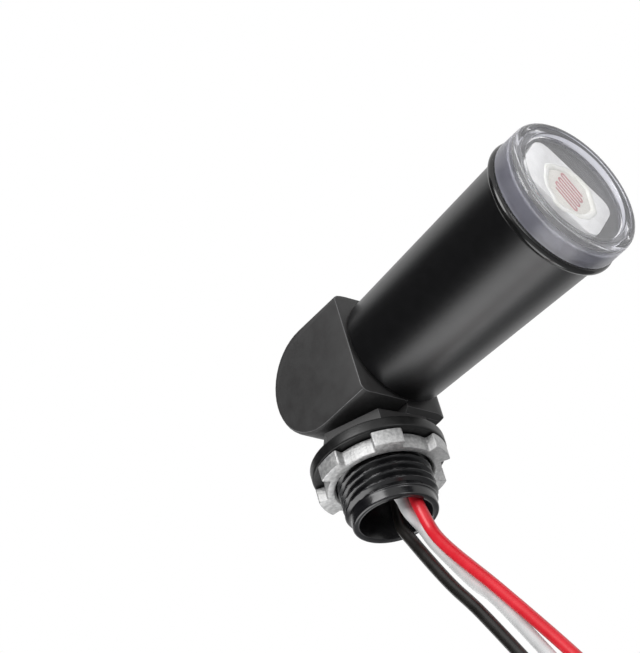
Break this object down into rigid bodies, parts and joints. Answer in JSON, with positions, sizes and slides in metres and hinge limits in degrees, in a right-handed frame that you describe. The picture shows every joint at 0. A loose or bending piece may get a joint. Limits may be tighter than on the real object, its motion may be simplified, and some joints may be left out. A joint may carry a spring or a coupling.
{
  "type": "photocell switch",
  "caption": "Swivel-mount photocell switch: tapered black tube with a clear lens cap over a light cell, on a two-part knuckle with a threaded stem, gasket, locknut and wire leads.",
  "frame": {"origin": "centre of the threaded stem at the gasket's underside, where the fitting meets the box it is screwed into", "axes": "-Z out of the threaded stem into the box, X along the knuckle's pivot, -Y along the tube towards the lens"},
  "size_m": [0.034, 0.0893, 0.1869],
  "materials": {
    "tube_plastic": "satin black moulded plastic",
    "knuckle_plastic": "fine matt black",
    "thread_plastic": "glossy black",
    "rubber": "smooth black rubber",
    "zinc": "bright die-cast zinc, finely mottled",
    "steel": "zinc plated",
    "lens": "clear moulded plastic",
    "holder_plastic": "white",
    "cell_ceramic": "cream ceramic with a pink track",
    "phenolic": "dark brown moulded phenolic",
    "brass": "plain",
    "bimetal": "plain rolled strip",
    "silver": "silver contact",
    "tinned_wire": "tinned",
    "copper": "bare stranded copper",
    "red_insulation": "smooth",
    "white_insulation": "smooth",
    "black_insulation": "smooth"
  },
  "bodies": {
    "stem": {"swivel_stem": "thread_plastic", "stem_gasket": "rubber", "locknut": "zinc", "lead_red": "red_insulation", "lead_white": "white_insulation", "lead_black": "black_insulation", "lead_end_red": "copper", "lead_end_white": "copper", "lead_end_black": "copper"},
    "head": {"tube_housing": "tube_plastic", "swivel_head": "knuckle_plastic", "pivot_screw": "steel", "pivot_lock_washer": "steel", "knuckle_seal": "rubber", "lens_seal": "rubber", "lens_cap": "lens", "cell_holder": "holder_plastic", "light_cell": "cell_ceramic", "cell_lead_line": "tinned_wire", "cell_lead_heater": "tinned_wire", "switch_base": "phenolic", "bimetal_arm": "bimetal", "line_rivet": "brass", "load_rivet": "brass", "neutral_rivet": "brass", "load_terminal": "brass", "neutral_terminal": "brass", "fixed_contact": "silver", "moving_contact": "silver", "calibration_screw": "steel", "heater_resistor": "cell_ceramic", "heater_lead_cell": "tinned_wire", "heater_lead_neutral": "tinned_wire", "inner_lead_red": "red_insulation", "inner_lead_white": "white_insulation", "inner_lead_black": "black_insulation"}
  },
  "joints": [
    {"name": "swivel", "type": "hinge", "parent": "stem", "child": "head", "pos_m": [0, 0, 0.021], "axis": [-1, 0, 0], "range_deg": [0, 180]}
  ]
}
